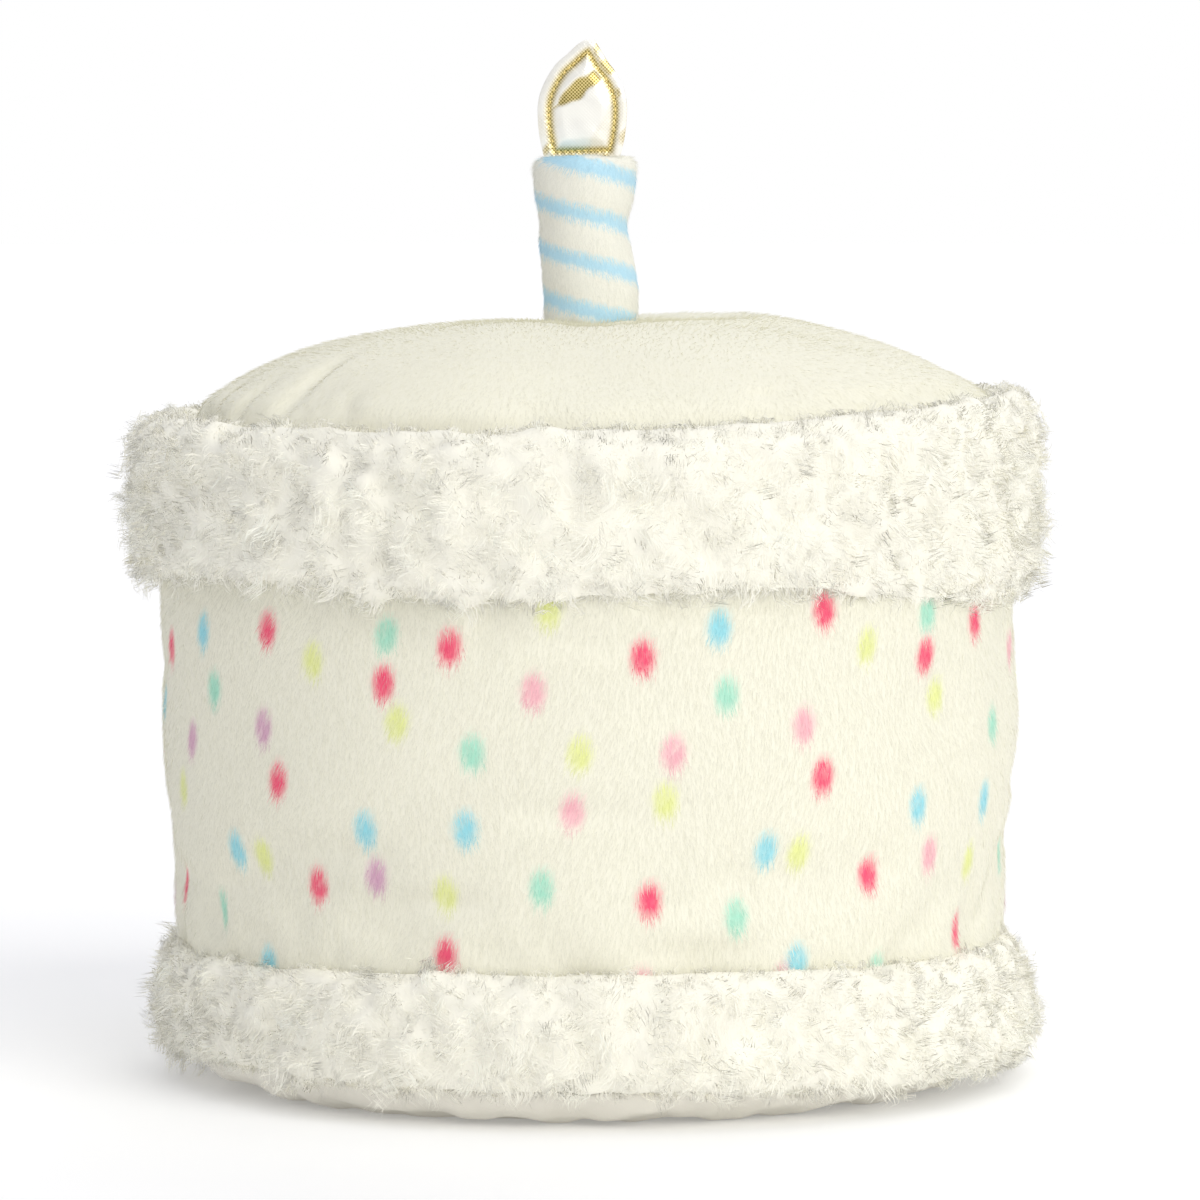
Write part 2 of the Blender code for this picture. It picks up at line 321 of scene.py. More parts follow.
def grow(name, node, look, roots, normals, curve, steps, width, dye, roll, softness, seed):
    """Join one strand for each root into a piece; curve gives places along all the strands."""
    draw = np.random.default_rng(seed)
    places, corners = strand_template(steps)
    shares = np.unique(places[:, 1])
    along = {share: curve(share) for share in shares}
    points = np.empty((len(roots), len(places), 3))
    shading = np.empty_like(points)
    turn = draw.normal(0, roll, len(roots))[:, None]
    for index, (side, share) in enumerate(places):
        ahead = curve(min(share + 0.05, 1.0)) - curve(max(share - 0.05, 0.0))
        ahead = unit(ahead)
        across = unit(np.cross(ahead, normals))
        over = np.cross(across, ahead)
        across = across * np.cos(turn) + over * np.sin(turn)
        points[:, index] = along[share] + across * (width[:, None] * side)
        facing = np.cross(across, ahead)
        outward = (facing * normals).sum(1)[:, None]
        shading[:, index] = unit(facing + normals * (softness * outward * np.abs(outward)))
    points[:, :, 2] = np.maximum(points[:, :, 2], FLOOR_CLEAR)
    mesh = bpy.data.meshes.new(name)
    mesh.vertices.add(len(roots) * len(places))
    mesh.vertices.foreach_set("co", points.ravel())
    offsets = np.arange(len(roots)) * len(places)
    loops = (corners[None] + offsets[:, None, None]).ravel()
    mesh.loops.add(len(loops))
    mesh.loops.foreach_set("vertex_index", loops.astype(np.int32))
    mesh.polygons.add(len(loops) // 3)
    mesh.polygons.foreach_set("loop_start", np.arange(0, len(loops), 3, dtype=np.int32))
    mesh.update(calc_edges=True)
    mesh.shade_smooth()
    custom = mesh.attributes.new("custom_normal", "FLOAT_VECTOR", "POINT")
    custom.data.foreach_set("vector", shading.ravel())
    colour = mesh.color_attributes.new("dye", "FLOAT_COLOR", "POINT")
    full = np.concatenate([dye, np.ones((len(dye), 1))], 1)
    colour.data.foreach_set("color", np.repeat(full, len(places), 0).ravel())
    reach = mesh.attributes.new("reach", "FLOAT", "POINT")
    reach.data.foreach_set("value", np.tile(places[:, 1], len(roots)))
    spread_map(mesh, roots, normals, places, loops)
    return new_piece(name, mesh, node, look)


def spread_map(mesh, roots, normals, places, loops):
    """A flat map of the roots, unrolled round the axis, on which each strand is a tiny patch."""
    low, high = roots[:, 2].min(), roots[:, 2].max()
    flat = np.abs(normals[:, 2]).mean() > 0.7
    if flat:
        reach = np.abs(roots[:, :2]).max()
        base = 0.5 + 0.48 * roots[:, :2] / reach
    else:
        base = np.stack([0.5 + 0.97 * angles_of(roots) / 360,
                         0.02 + 0.96 * (roots[:, 2] - low) / (high - low)], 1)
    patch = places * MAP_PATCH
    spots = (base[:, None, :] + patch[None]).reshape(-1, 2)
    layer = mesh.uv_layers.new(name="OFBake")
    layer.data.foreach_set("uv", spots[loops].ravel())


MAP_PATCH = 0.0012
FLOOR_CLEAR = 0.1 * MM


# --------------------------------------
# Dye
# --------------------------------------
def print_of(points, fray, seed):
    """The drum's printed colour at each point: cream, with small soft dots."""
    draw = np.random.default_rng(seed)
    angle = angles_of(points) + np.degrees(draw.normal(0, fray, len(points)) / DRUM_RADIUS)
    height = points[:, 2] + draw.normal(0, fray * 1.6, len(points))
    colours = plain(CREAM, len(points))
    ink = np.clip(1.0 + 0.2 * ripples(points, 2.0 * MM, seed + 1), 0, 1.1)
    for colour, places in DOTS:
        for degrees, millimetres in places:
            apart = (angle - degrees + PRINT_REPEAT / 2) % PRINT_REPEAT - PRINT_REPEAT / 2
            side = np.radians(apart) * DRUM_RADIUS / DOT_HALF_WIDTH
            rise = (height - millimetres * MM) / DOT_HALF_HEIGHT
            strength = ease((1.35 - np.hypot(side, rise)) / 0.85) * ink
            strength = np.clip(strength, 0, 1)[:, None]
            colours = colours * (1 - strength) + np.array(colour) * strength
    return colours


def plain(colour, count):
    """One colour for each of a number of rows."""
    return np.tile(np.array(colour), (count, 1))


def varied(colours, spread, seed):
    """Colours with a little lightness drawn for each row."""
    draw = np.random.default_rng(seed)
    return np.clip(colours * (1.0 + draw.normal(0, spread, len(colours))[:, None]), 0.0, 1.0)


def dye_points(piece, colours):
    """Give a skin its dye, one colour for each point."""
    layer = piece.data.color_attributes.new("dye", "FLOAT_COLOR", "POINT")
    full = np.concatenate([colours, np.ones((len(colours), 1))], 1)
    layer.data.foreach_set("color", full.ravel())


def stripes_of(points, seed):
    """The candle's colour at each point: one blue stripe that winds down to the right."""
    angle = angles_of(points - np.array([[CANDLE_MIDDLE, 0, 0]]))
    tilt = STRIPE_TILT * (points[:, 0] - CANDLE_MIDDLE) / (10 * MM)
    winding = (points[:, 2] + tilt - STRIPE_HEIGHT) / STRIPE_PITCH + angle / 360
    apart = np.abs((winding + 0.5) % 1.0 - 0.5) * STRIPE_PITCH
    ragged = 0.25 * MM * ripples(points, 2.2 * MM, seed)
    strength = ease((STRIPE_HALF_WIDTH + 0.6 * MM - apart + ragged) / (1.2 * MM))[:, None]
    return np.array(CANDLE_WHITE) * (1 - strength) + np.array(CANDLE_BLUE) * strength


CANDLE_MIDDLE = -0.8 * MM
STRIPE_HEIGHT = 201.5 * MM
STRIPE_PITCH = 10.5 * MM
STRIPE_HALF_WIDTH = 1.7 * MM
STRIPE_TILT = 0.8 * MM


# --------------------------------------
# Looks
# --------------------------------------
def node_group(name, inputs, outputs):
    """An empty shader group with named inputs and outputs."""
    group = bpy.data.node_groups.new(name, "ShaderNodeTree")
    for label, kind, value in inputs:
        socket = group.interface.new_socket(label, in_out="INPUT", socket_type=kind)
        if value is not None:
            socket.default_value = value
    for label, kind in outputs:
        group.interface.new_socket(label, in_out="OUTPUT", socket_type=kind)
    start = group.nodes.new("NodeGroupInput")
    end = group.nodes.new("NodeGroupOutput")
    return group, start, end


def fill(tree, node, inputs):
    """Fill a node's inputs, each with a value or with another node's socket."""
    for name, value in inputs.items():
        if isinstance(value, bpy.types.NodeSocket):
            tree.links.new(value, node.inputs[name])
        else:
            node.inputs[name].default_value = value


def add_node(tree, kind, inputs=None, **settings):
    """A new shader node with its settings and its inputs filled."""
    node = tree.nodes.new("ShaderNode" + kind)
    for name, value in settings.items():
        setattr(node, name, value)
    fill(tree, node, inputs or {})
    return node


def colour_mix(tree, share, first, second):
    """The socket of two colours mixed, each a socket or a plain colour."""
    first, second = ((*colour, 1) if isinstance(colour, tuple) else colour
                     for colour in (first, second))
    return add_node(tree, "Mix", {0: share, 6: first, 7: second}, data_type="RGBA").outputs[2]


def new_look(name):
    """An empty material: its node tree and its Principled shader."""
    look = bpy.data.materials.new(name)
    look.use_nodes = True
    return look, look.node_tree, look.node_tree.nodes["Principled BSDF"]


def nap_group():
    """Short brushed pile: cloudy tone, fine fibres drawn out along the nap, painted shade at the
    roots.
    """
    group, start, end = node_group(
        "Nap",
        (("Dye", "NodeSocketColor", None), ("Reach", "NodeSocketFloat", 1.0),
         ("Fibre Scale", "NodeSocketFloat", 1400.0), ("Depth", "NodeSocketFloat", 0.0002),
         ("Root Shade", "NodeSocketFloat", 0.85), ("Cloud", "NodeSocketFloat", 0.04)),
        (("Colour", "NodeSocketColor"), ("Normal", "NodeSocketVector")))
    given = start.outputs
    place = add_node(group, "TexCoord").outputs["Object"]
    stretch = add_node(group, "VectorMath", {0: place, 1: (1.0, 1.0, 0.22)}, operation="MULTIPLY")
    fibres = add_node(group, "TexNoise", {"Detail": 3.0, "Vector": stretch.outputs[0],
                                          "Scale": given["Fibre Scale"]})
    clouds = add_node(group, "TexNoise", {"Scale": 60.0, "Vector": place})
    tone = add_node(group, "Math", {0: clouds.outputs["Fac"], 1: given["Cloud"], 2: 0.97},
                    operation="MULTIPLY_ADD")
    # Painted shade: the colour darkens from each strand's tip to Root Shade at its root.
    root = add_node(group, "MapRange", {"Value": given["Reach"], "To Min": given["Root Shade"],
                                        "To Max": 1.0})
    both = add_node(group, "Math", {0: tone.outputs[0], 1: root.outputs["Result"]},
                    operation="MULTIPLY")
    shade = add_node(group, "VectorMath", {0: given["Dye"], "Scale": both.outputs[0]},
                     operation="SCALE")
    bump = add_node(group, "Bump", {"Strength": 0.6, "Distance": given["Depth"],
                                    "Height": fibres.outputs["Fac"]})
    fill(group, end, {"Colour": shade.outputs[0], "Normal": bump.outputs["Normal"]})
    return group


NAP = nap_group()


def thin_shadow(tree, shader, share):
    """Fine fibres let part of the light through, so their shadows stay pale."""
    path = add_node(tree, "LightPath").outputs
    either = add_node(tree, "Math", {0: path["Is Shadow Ray"], 1: path["Is Diffuse Ray"]},
                      operation="MAXIMUM")
    let = add_node(tree, "Math", {0: either.outputs[0], 1: -share, 2: 1.0},
                   operation="MULTIPLY_ADD")
    fill(tree, shader, {"Alpha": let.outputs[0]})


def pile_look(name, roughness, sheen, strands, root_shade=0.85, fibre_scale=1400.0, cloud=0.04,
              thin=0.6):
    """Pile cloth: the dye drawn on its points, through the nap group."""
    look, tree, shader = new_look(name)
    dye = add_node(tree, "Attribute", attribute_name="dye")
    nap = add_node(tree, "Group", node_tree=NAP)
    fill(tree, nap, {"Fibre Scale": fibre_scale, "Root Shade": root_shade, "Cloud": cloud,
                     "Dye": dye.outputs["Color"]})
    fill(tree, shader, {"Roughness": roughness, "Sheen Weight": sheen, "Sheen Roughness": 0.5,
                        "Specular IOR Level": 0.35, "Base Color": nap.outputs["Colour"]})
    if strands:
        # Strands get the painted shade at their roots from how far along each point is.
        reach = add_node(tree, "Attribute", attribute_name="reach")
        fill(tree, nap, {"Reach": reach.outputs["Fac"]})
        thin_shadow(tree, shader, thin)
    else:
        fill(tree, shader, {"Normal": nap.outputs["Normal"]})
    return look


# --------------------------------------
# Pile on each panel
# --------------------------------------
def along_skin(normals, way):
    """A direction laid flat on the skin at each root."""
    way = np.broadcast_to(way, normals.shape)
    return unit(way - normals * (way * normals).sum(1)[:, None])


def short_pile(name, skin, node, look, count, comb, dye, length, width, lift, stray,
               steps, weight, seed):
    """Brushed pile: straight short strands that lean along the comb."""
    draw = np.random.default_rng(seed)
    roots, normals = roots_on(skin, count, seed, weight)
    lay = comb(roots, normals)
    across = np.cross(normals, lay)
    leaning = unit(normals * (lift + draw.normal(0, 0.10, count))[:, None] + lay
                   + across * draw.normal(0, stray, count)[:, None])
    reach = length * draw.uniform(0.7, 1.15, count)[:, None]
    starts = roots - normals * 0.3 * MM

    def curve(share):
        return starts + leaning * reach * share + lay * reach * (0.25 * share * share)

    widths = width * draw.uniform(0.7, 1.2, count)
    return grow(name, node, look, starts, normals, curve, steps, widths,
                varied(dye(roots), 0.012, seed + 2), 0.25, 2.5, seed + 3)


def fluffy_pile(name, skin, node, look, count, hubs, length, width, lift, comb, curl,
                turns, gather, dye, steps, weight, seed, softness=0.6, strays=0.1):
    """Long curly pile: strands that gather towards the nearest lock as they rise."""
    draw = np.random.default_rng(seed)
    roots, normals = roots_on(skin, count, seed, weight)
    centres, centre_normals = roots_on(skin, hubs, seed + 1, weight)
    tree = tree_of(centres)
    nearest = np.array([tree.find(root)[1] for root in roots])

    swirl = np.stack([ripples(centres, 12 * MM, seed + 10 + axis) for axis in range(3)], 1)
    tilt = centre_normals[:, 2]
    combed = comb * np.clip(1.0 + 1.2 * np.minimum(tilt, 0.0), 0.1, 1.0)
    combed += draw.uniform(-0.4, 0.7, hubs) * ease(-tilt / 0.5)
    lay = along_skin(centre_normals, DOWN * combed[:, None] + swirl
                     + draw.normal(0, 0.45, (hubs, 3)))
    rise = lift * draw.uniform(0.5, 1.5, hubs)
    rise[draw.uniform(0, 1, hubs) < strays] = 1.4
    lock_way = unit(centre_normals * rise[:, None] + lay)
    lock_side = unit(np.cross(lock_way, draw.normal(size=(hubs, 3))))
    lock_other = np.cross(lock_side, lock_way)
    lock_length = length * draw.uniform(0.75, 1.2, hubs)
    lock_length *= 1.0 - 0.55 * ease((tilt - 0.05) / 0.6) - 0.30 * ease((-tilt - 0.1) / 0.6)
    lock_length *= 1.0 - 0.20 * towards(centres, (1, 0))
    lock_phase = draw.uniform(0, tau, hubs)
    lock_turns = turns * draw.uniform(0.6, 1.4, hubs)
    lock_curl = curl * draw.uniform(0.6, 1.4, hubs)

    own_way = unit(lock_way[nearest] + draw.normal(0, 0.22, (count, 3)))
    own_length = lock_length[nearest] * draw.uniform(0.75, 1.15, count)
    own_phase = lock_phase[nearest] + draw.normal(0, 0.5, count)
    own_gather = gather * draw.uniform(0.6, 1.1, count)
    starts = roots - normals * 0.4 * MM

    def coil(side, other, phase, wind, size, share):
        """How far a curl stands off its middle line."""
        now = (phase + wind * tau * share)[:, None]
        return (side * (np.cos(now) - np.cos(phase)[:, None])
                + other * (np.sin(now) - np.sin(phase)[:, None])) * (size * share ** 0.5)[:, None]

    def curve(share):
        lock = (centres + lock_way * (lock_length * share)[:, None]
                + DOWN * (lock_length * 0.12 * share * share)[:, None]
                + coil(lock_side, lock_other, lock_phase, lock_turns, lock_curl, share))[nearest]
        own = (starts + own_way * (own_length * share)[:, None]
               + DOWN * (own_length * 0.12 * share * share)[:, None]
               + coil(lock_side[nearest], lock_other[nearest], own_phase,
                      lock_turns[nearest], lock_curl[nearest], share))
        drawn = (own_gather * share ** 0.8)[:, None]
        return own * (1 - drawn) + lock * drawn

    widths = width * draw.uniform(0.7, 1.25, count)
    tone = varied(dye(roots), 0.015, seed + 4)
    tone *= (1.0 + draw.normal(0, 0.02, hubs)[nearest])[:, None]
    return grow(name, node, look, starts, normals, curve, steps, widths,
                np.clip(tone, 0, 1), 0.35, softness, seed + 5)


# --------------------------------------
# The drum
# --------------------------------------
PRINTED = pile_look("Printed pile", 0.85, 0.15, False)
PRINTED_STRANDS = pile_look("Printed pile strands", 0.80, 0.15, True)
WALL_FROM = BASE_BAND[1].z - 7 * MM
WALL_TO = TOP_BAND[0].z + 14 * MM
WALL_INSIDE = 86 * MM
SEWN_BELOW, SEWN_ABOVE = 32, 112
DRUM_STRANDS, DOME_STRANDS, CANDLE_STRAND_COUNT = 190000, 80000, 26000
MOST_SETTLING = 1.2 * MM

drum_skin = soft_copy("drum_skin", "drum", 2, PRINTED, inset=1.0 * MM)
spots = points_of(drum_skin)
spots += normals_of(drum_skin) * (0.35 * MM * ripples(spots, 38 * MM, 5))[:, None]
move_points(drum_skin, spots)


def wall_held(points):
    """The wall is sewn under both bands and fixed across its two ends."""
    height = points[:, 2] / MM
    inside = from_axis(points) < WALL_INSIDE
    return np.clip(np.maximum.reduce([ease((SEWN_BELOW - height) / 8),
                                      ease((height - SEWN_ABOVE) / 8),
                                      inside.astype(float)]), 0, 1)


stuffing_folds(drum_skin, wall_held, 4.0, 0.025, MOST_SETTLING)
round_off(drum_skin, 1)
dye_points(drum_skin, print_of(points_of(drum_skin), 0.0, 31))


def wall_weight(points, normals):
    """Pile grows only where the bands leave the wall bare, and a little under their edges."""
    return ((points[:, 2] > WALL_FROM) & (points[:, 2] < WALL_TO)).astype(float)


def nap_down(roots, normals):
    """Brushed down the wall, with a gentle drift to each side."""
    drift = 0.18 * ripples(roots, 30 * MM, 44)
    side = np.cross(normals, DOWN)
    return along_skin(normals, DOWN + side * drift[:, None])


short_pile("drum_pile", drum_skin, "drum", PRINTED_STRANDS, DRUM_STRANDS, nap_down,
           lambda roots: print_of(roots, 0.30 * MM, 32), 2.4 * MM, 0.25 * MM, 0.42, 0.22,
           1, wall_weight, 101)

# --------------------------------------
# The domed top
# --------------------------------------
PLAIN = pile_look("Plain pile", 0.85, 0.15, False)
PLAIN_STRANDS = pile_look("Plain pile strands", 0.80, 0.15, True)

# Folds drawn in towards the candle: degrees round, how far in they reach, depth, half-width
DOME_FOLDS = ((-50, 62, 1.7, 3.0), (-60, 72, 1.4, 2.6), (-37, 76, 0.8, 3.0), (-72, 72, 1.0, 3.2),
              (64, 80, 0.5, 3.5), (110, 68, 0.9, 3.4), (150, 76, 0.8, 3.0), (-118, 70, 0.9, 3.3),
              (-160, 80, 0.6, 3.0))
SWELL_LEFT = 1.3 * MM
RIM_SWELL = 0.9 * MM


def dome_shape(points):
    """How far the stuffing pushes the dome out, and the folds pull it in."""
    far = from_axis(points)
    upper = ease((points[:, 2] - TOP_PANEL[0].z - 4 * MM) / (6 * MM))
    left = ease(-points[:, 0] / (30 * MM) + 0.1)
    push = (SWELL_LEFT * left * ease((DRUM_RADIUS - far) / (22 * MM))
            * ease((far - 8 * MM) / (20 * MM)))
    push += 0.45 * MM * ripples(points, 46 * MM, 9) * ease((DRUM_RADIUS - far) / (14 * MM))
    push += RIM_SWELL * ease((far - 76 * MM) / (12 * MM))
    for degrees, reach, depth, half in DOME_FOLDS:
        apart = (angles_of(points) - degrees + 180) % 360 - 180
        wander = np.degrees(0.9 * MM * ripples(points, 26 * MM, 11) / np.maximum(far, 10 * MM))
        aside = np.radians(apart + wander) * far / (half * MM)
        along = ease((far / MM - reach) / 14) * ease((DRUM_RADIUS - far + 2 * MM) / (3 * MM))
        push -= depth * MM * np.exp(-aside * aside) * along
    return push * upper


dome_skin = soft_copy("top_skin", "top_panel", 2, PLAIN, inset=0.8 * MM)


def dome_held(points):
    """The dome is sewn round its rim and round the candle's foot."""
    far = from_axis(points)
    low = (points[:, 2] < TOP_PANEL[0].z + 3 * MM).astype(float)
    return np.clip(np.maximum.reduce([low, ease((far - 86 * MM) / (5 * MM)),
                                      ease((13 * MM - far) / (4 * MM))]), 0, 1)


stuffing_folds(dome_skin, dome_held, 0.8, 0.02, MOST_SETTLING)
round_off(dome_skin, 1)
spots = points_of(dome_skin)
spots += normals_of(dome_skin) * dome_shape(spots)[:, None]
move_points(dome_skin, spots)
dye_points(dome_skin, plain(DOME_CREAM, len(dome_skin.data.vertices)))


def dome_weight(points, normals):
    """Pile over the crown, outside the candle's foot."""
    far = from_axis(points)
    return ((points[:, 2] > TOP_PANEL[0].z + 1.5 * MM) & (far > 10.5 * MM)).astype(float)


def nap_outward(roots, normals):
    """Brushed from the candle out towards the rim and a little to the front."""
    out = roots * LEVEL + np.array([0.0, -0.02, 0.0])
    swirl = 0.3 * ripples(roots, 35 * MM, 45)
    lay = along_skin(normals, unit(out))
    return unit(lay + np.cross(normals, lay) * swirl[:, None])


short_pile("top_pile", dome_skin, "top_panel", PLAIN_STRANDS, DOME_STRANDS,
           nap_outward, lambda roots: plain(DOME_CREAM, len(roots)), 2.6 * MM, 0.26 * MM, 0.38,
           0.20, 1, dome_weight, 201)

# --------------------------------------
# The fluffy bands
# --------------------------------------
FLUFF = pile_look("Fluff cloth", 0.8, 0.2, False)
FLUFF_STRANDS = pile_look("Fluff strands", 0.5, 0.25, True, root_shade=0.97, thin=0.75)


def fluff_dye(roots):
    """Off-white, a shade uneven from place to place."""
    tone = 1.0 + 0.015 * ripples(roots, 14 * MM, 77)
    return np.array(FLUFF_WHITE) * tone[:, None]


def share_up(points, box):
    """How far up a box each point is, from 0 to 1."""
    return np.clip((points[:, 2] - box[0].z) / (box[1].z - box[0].z), 0, 1)


def towards(points, way):
    """How far round each point faces a level direction: 0 up to a third of the way, then to 1."""
    level = unit(points * LEVEL)
    return ease((level @ np.array([*way, 0.0]) - 0.3) / 0.6)


def bend_top_band(points):
    """The upper roll rides up on the left, and its crown a little on the right."""
    share = share_up(points, TOP_BAND)
    left, right = towards(points, (-1, 0)), towards(points, (1, 0))
    moved = points.copy()
    moved[:, 2] += MM * (left * (6.3 - 5.6 * share) + right * 1.8 * share)
    return moved


def bend_base_band(points):
    """The lower roll sags on the left, swells on the right and lifts off the base in front."""
    share = share_up(points, BASE_BAND)
    left, right = towards(points, (-1, 0)), towards(points, (1, 0))
    front = towards(points, (-0.35, -0.94))
    level = unit(points * LEVEL)
    swell = 2.8 * np.exp(-((share - 0.25) / 0.28) ** 2) - 2.2 * ease((share - 0.5) / 0.5)
    moved = points + level * (MM * (right * swell - left * 2.0))[:, None]
    moved[:, 2] += MM * (front * 2.8 * (1 - share) - left * 2.8 * share - right * 2.0 * share)
    return moved


def band(name, node, down_count, curl_count, hubs, bend, trim, weight, seed):
    """A roll of long pile: its cloth, an undercoat and a coat of curls."""
    cloth = soft_copy(name + "_cloth", node, 3, FLUFF)
    spots = points_of(cloth)
    outward = normals_of(cloth)
    proud = from_axis(spots) - DRUM_RADIUS
    inset = 2.0 + trim * towards(spots, (1, 0))
    inset = inset * ease((proud + 3 * MM) / (8 * MM))
    spots -= outward * (inset * MM)[:, None]
    lumps = 0.75 * ripples(spots, 13 * MM, seed) + 0.45 * ripples(spots, 6 * MM, seed + 1)
    spots += outward * (lumps * MM * ease((proud + 4 * MM) / (5 * MM)))[:, None]
    move_points(cloth, bend(spots))
    spots = points_of(cloth)
    dye_points(cloth, fluff_dye(spots) * 0.97)
    fluffy_pile(name + "_down", cloth, node, FLUFF_STRANDS, down_count, hubs * 2, 4.0 * MM,
                0.28 * MM, 0.55, 0.35, 0.7 * MM, 0.8, 0.35, fluff_dye, 2, weight, seed + 20,
                softness=3.0, strays=0.04)
    fluffy_pile(name + "_curls", cloth, node, FLUFF_STRANDS, curl_count, hubs, 7.0 * MM,
                0.20 * MM, 0.60, 0.35, 1.4 * MM, 1.3, 0.55, fluff_dye, 4, weight, seed + 40,
                softness=2.0, strays=0.12)


def outer_weight(points, normals):
    """Fluff grows on the roll's outer side and over its crown, and not against the drum."""
    out = unit(points * LEVEL)
    facing = (normals * out).sum(1)
    return ((facing > -0.45) | ((normals[:, 2] > 0.3) & (facing > -0.85))).astype(float)


band("top_band", "top_band", 62000, 28000, 2200, bend_top_band, 1.2,
     outer_weight, 300)
band("base_band", "base_band", 44000, 21000, 1500, bend_base_band, 0.0,
     outer_weight, 400)

# --------------------------------------
# The base
# --------------------------------------
BASE = pile_look("Base cloth", 0.8, 0.1, False)
base_skin = soft_copy("base_skin", "base_panel", 3, BASE)
spots = points_of(base_skin)
far = from_axis(spots)
round_edge = np.stack([spots[:, 0], spots[:, 1], spots[:, 2] * 0.0], 1) / far.max()
gathers = ripples(round_edge * 0.09, 15 * MM, 71) + 0.5 * ripples(round_edge * 0.09, 7 * MM, 72)
outer = ease((far - 55 * MM) / (20 * MM)) * ease((8 * MM - spots[:, 2]) / (4 * MM))
spots += normals_of(base_skin) * (0.6 * MM * gathers * outer)[:, None]
spots[:, 2] = np.maximum(spots[:, 2], 0.05 * MM)
move_points(base_skin, spots)
dye_points(base_skin, plain(BASE_CLOTH, len(base_skin.data.vertices)))

# --------------------------------------
# The candle and its flame
# --------------------------------------
CANDLE_PILE = pile_look("Candle pile", 0.85, 0.15, False)
CANDLE_STRANDS = pile_look("Candle pile strands", 0.80, 0.15, True)
candle_skin = soft_copy("candle_skin", "candle", 3, CANDLE_PILE, inset=0.1 * MM)
spots = points_of(candle_skin)
pinch = np.exp(-((spots[:, 2] - 188 * MM) / (4.5 * MM)) ** 2)
spots += normals_of(candle_skin) * (0.25 * MM * ripples(spots, 13 * MM, 63))[:, None]
spots[:, 0] += 0.5 * MM - 0.5 * MM * pinch * ease(spots[:, 0] / (8 * MM))
move_points(candle_skin, spots)
dye_points(candle_skin, stripes_of(points_of(candle_skin), 61))


def candle_weight(points, normals):
    """Pile on all that shows of the candle."""
    return (points[:, 2] > CANDLE[0].z + 0.8 * MM).astype(float)


short_pile("candle_pile", candle_skin, "candle", CANDLE_STRANDS, CANDLE_STRAND_COUNT,
           nap_down,
           lambda roots: stripes_of(roots, 62), 1.8 * MM, 0.20 * MM, 0.45, 0.3, 1,
           candle_weight, 501)

# --------------------------------------
# The flame: two layers of gold foil cloth, padded and stitched round
# --------------------------------------
FOIL_PALE = (0.97, 0.95, 0.88)
FOIL_GOLD = (0.90, 0.72, 0.30)
FOIL_DARK = (0.26, 0.20, 0.03)
THREAD_GOLD = (0.95, 0.76, 0.30)
FLAME_COLUMNS = 52
FLAME_ROWS = 104
SEAM_IN = 2.6 * MM
SEAM_HALF_WIDTH = 0.55 * MM
WEAVE_PITCH = 0.55 * MM
STITCH_PITCH = 1.45 * MM
STITCH_LENGTH = 1.1 * MM
THREAD_RADIUS = 0.20 * MM
GLINT_MIDDLE = (-1.7 * MM, 218.4 * MM)
GLINT_SLOPE = radians(37)
TIP_LEAN = 2.0 * MM
TIP_HEIGHT = 5 * MM
HALF_ROOT = 0.7071
OUTLINE_STEPS = 400


def smooth_through(at, places, values):
    """A smooth curve through values at rising places."""
    slopes = np.gradient(values, places)
    index = np.clip(np.searchsorted(places, at) - 1, 0, len(places) - 2)
    span = places[index + 1] - places[index]
    share = np.clip((at - places[index]) / span, 0, 1)
    first, second = share * share, share * share * share
    return ((2 * second - 3 * first + 1) * values[index]
            + (second - 2 * first + share) * span * slopes[index]
            + (3 * first - 2 * second) * values[index + 1]
            + (second - first) * span * slopes[index + 1])


def flame_sides():
    """The solid flame's left and right edges, each from its foot to the tip."""
    solid = points_of(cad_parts["flame"])[:, [0, 2]]
    hull = solid[geometry.convex_hull_2d([tuple(spot) for spot in solid])]
    hull[:, 0] += TIP_LEAN * ease((hull[:, 1] - FLAME[1].z + TIP_HEIGHT) / TIP_HEIGHT)
    tip = hull[np.argmax(hull[:, 1])]
    sides = []
    for way in (-1, 1):
        side = hull[(hull[:, 0] - tip[0]) * way > 0]
        foot = side[np.argmax(side[:, 0] * way * (side[:, 1] < hull[:, 1].min() + 1.2 * MM)
                              - (side[:, 1] >= hull[:, 1].min() + 1.2 * MM))]
        above = side[side[:, 1] > foot[1] + 0.4 * MM]
        chain = np.concatenate([foot[None], above, tip[None]])
        sides.append(chain[np.argsort(chain[:, 1])])
    return sides


LEFT_SIDE, RIGHT_SIDE = flame_sides()


def up_side(side, share):
    """Places up one edge of the flame for shares of its length, closer together at the tip."""
    run = np.concatenate([[0.0], np.cumsum(np.linalg.norm(np.diff(side, axis=0), axis=1))])
    reach = run[-1] * np.sin(share * pi / 2) ** 1.2
    return np.stack([smooth_through(reach, run, side[:, axis]) for axis in (0, 1)], 1)


def flame_outline(count):
    """The flame's outline: up its left edge, over the tip, down its right edge and home."""
    share = np.linspace(0, 1, count)
    left, right = up_side(LEFT_SIDE, share), up_side(RIGHT_SIDE, share)[::-1]
    foot = np.linspace(right[-1], left[0], 60)[1:]
    return np.concatenate([left, right, foot])


def from_outline(spots, outline):
    """How far in from the outline each flat spot is, and how far round its nearest place is."""
    run = np.concatenate([[0.0], np.cumsum(np.linalg.norm(np.diff(outline, axis=0), axis=1))])
    tree = tree_of([(place[0], 0.0, place[1]) for place in outline])
    found = [tree.find((spot[0], 0.0, spot[1])) for spot in spots]
    return np.array([hit[2] for hit in found]), run[[hit[1] for hit in found]]


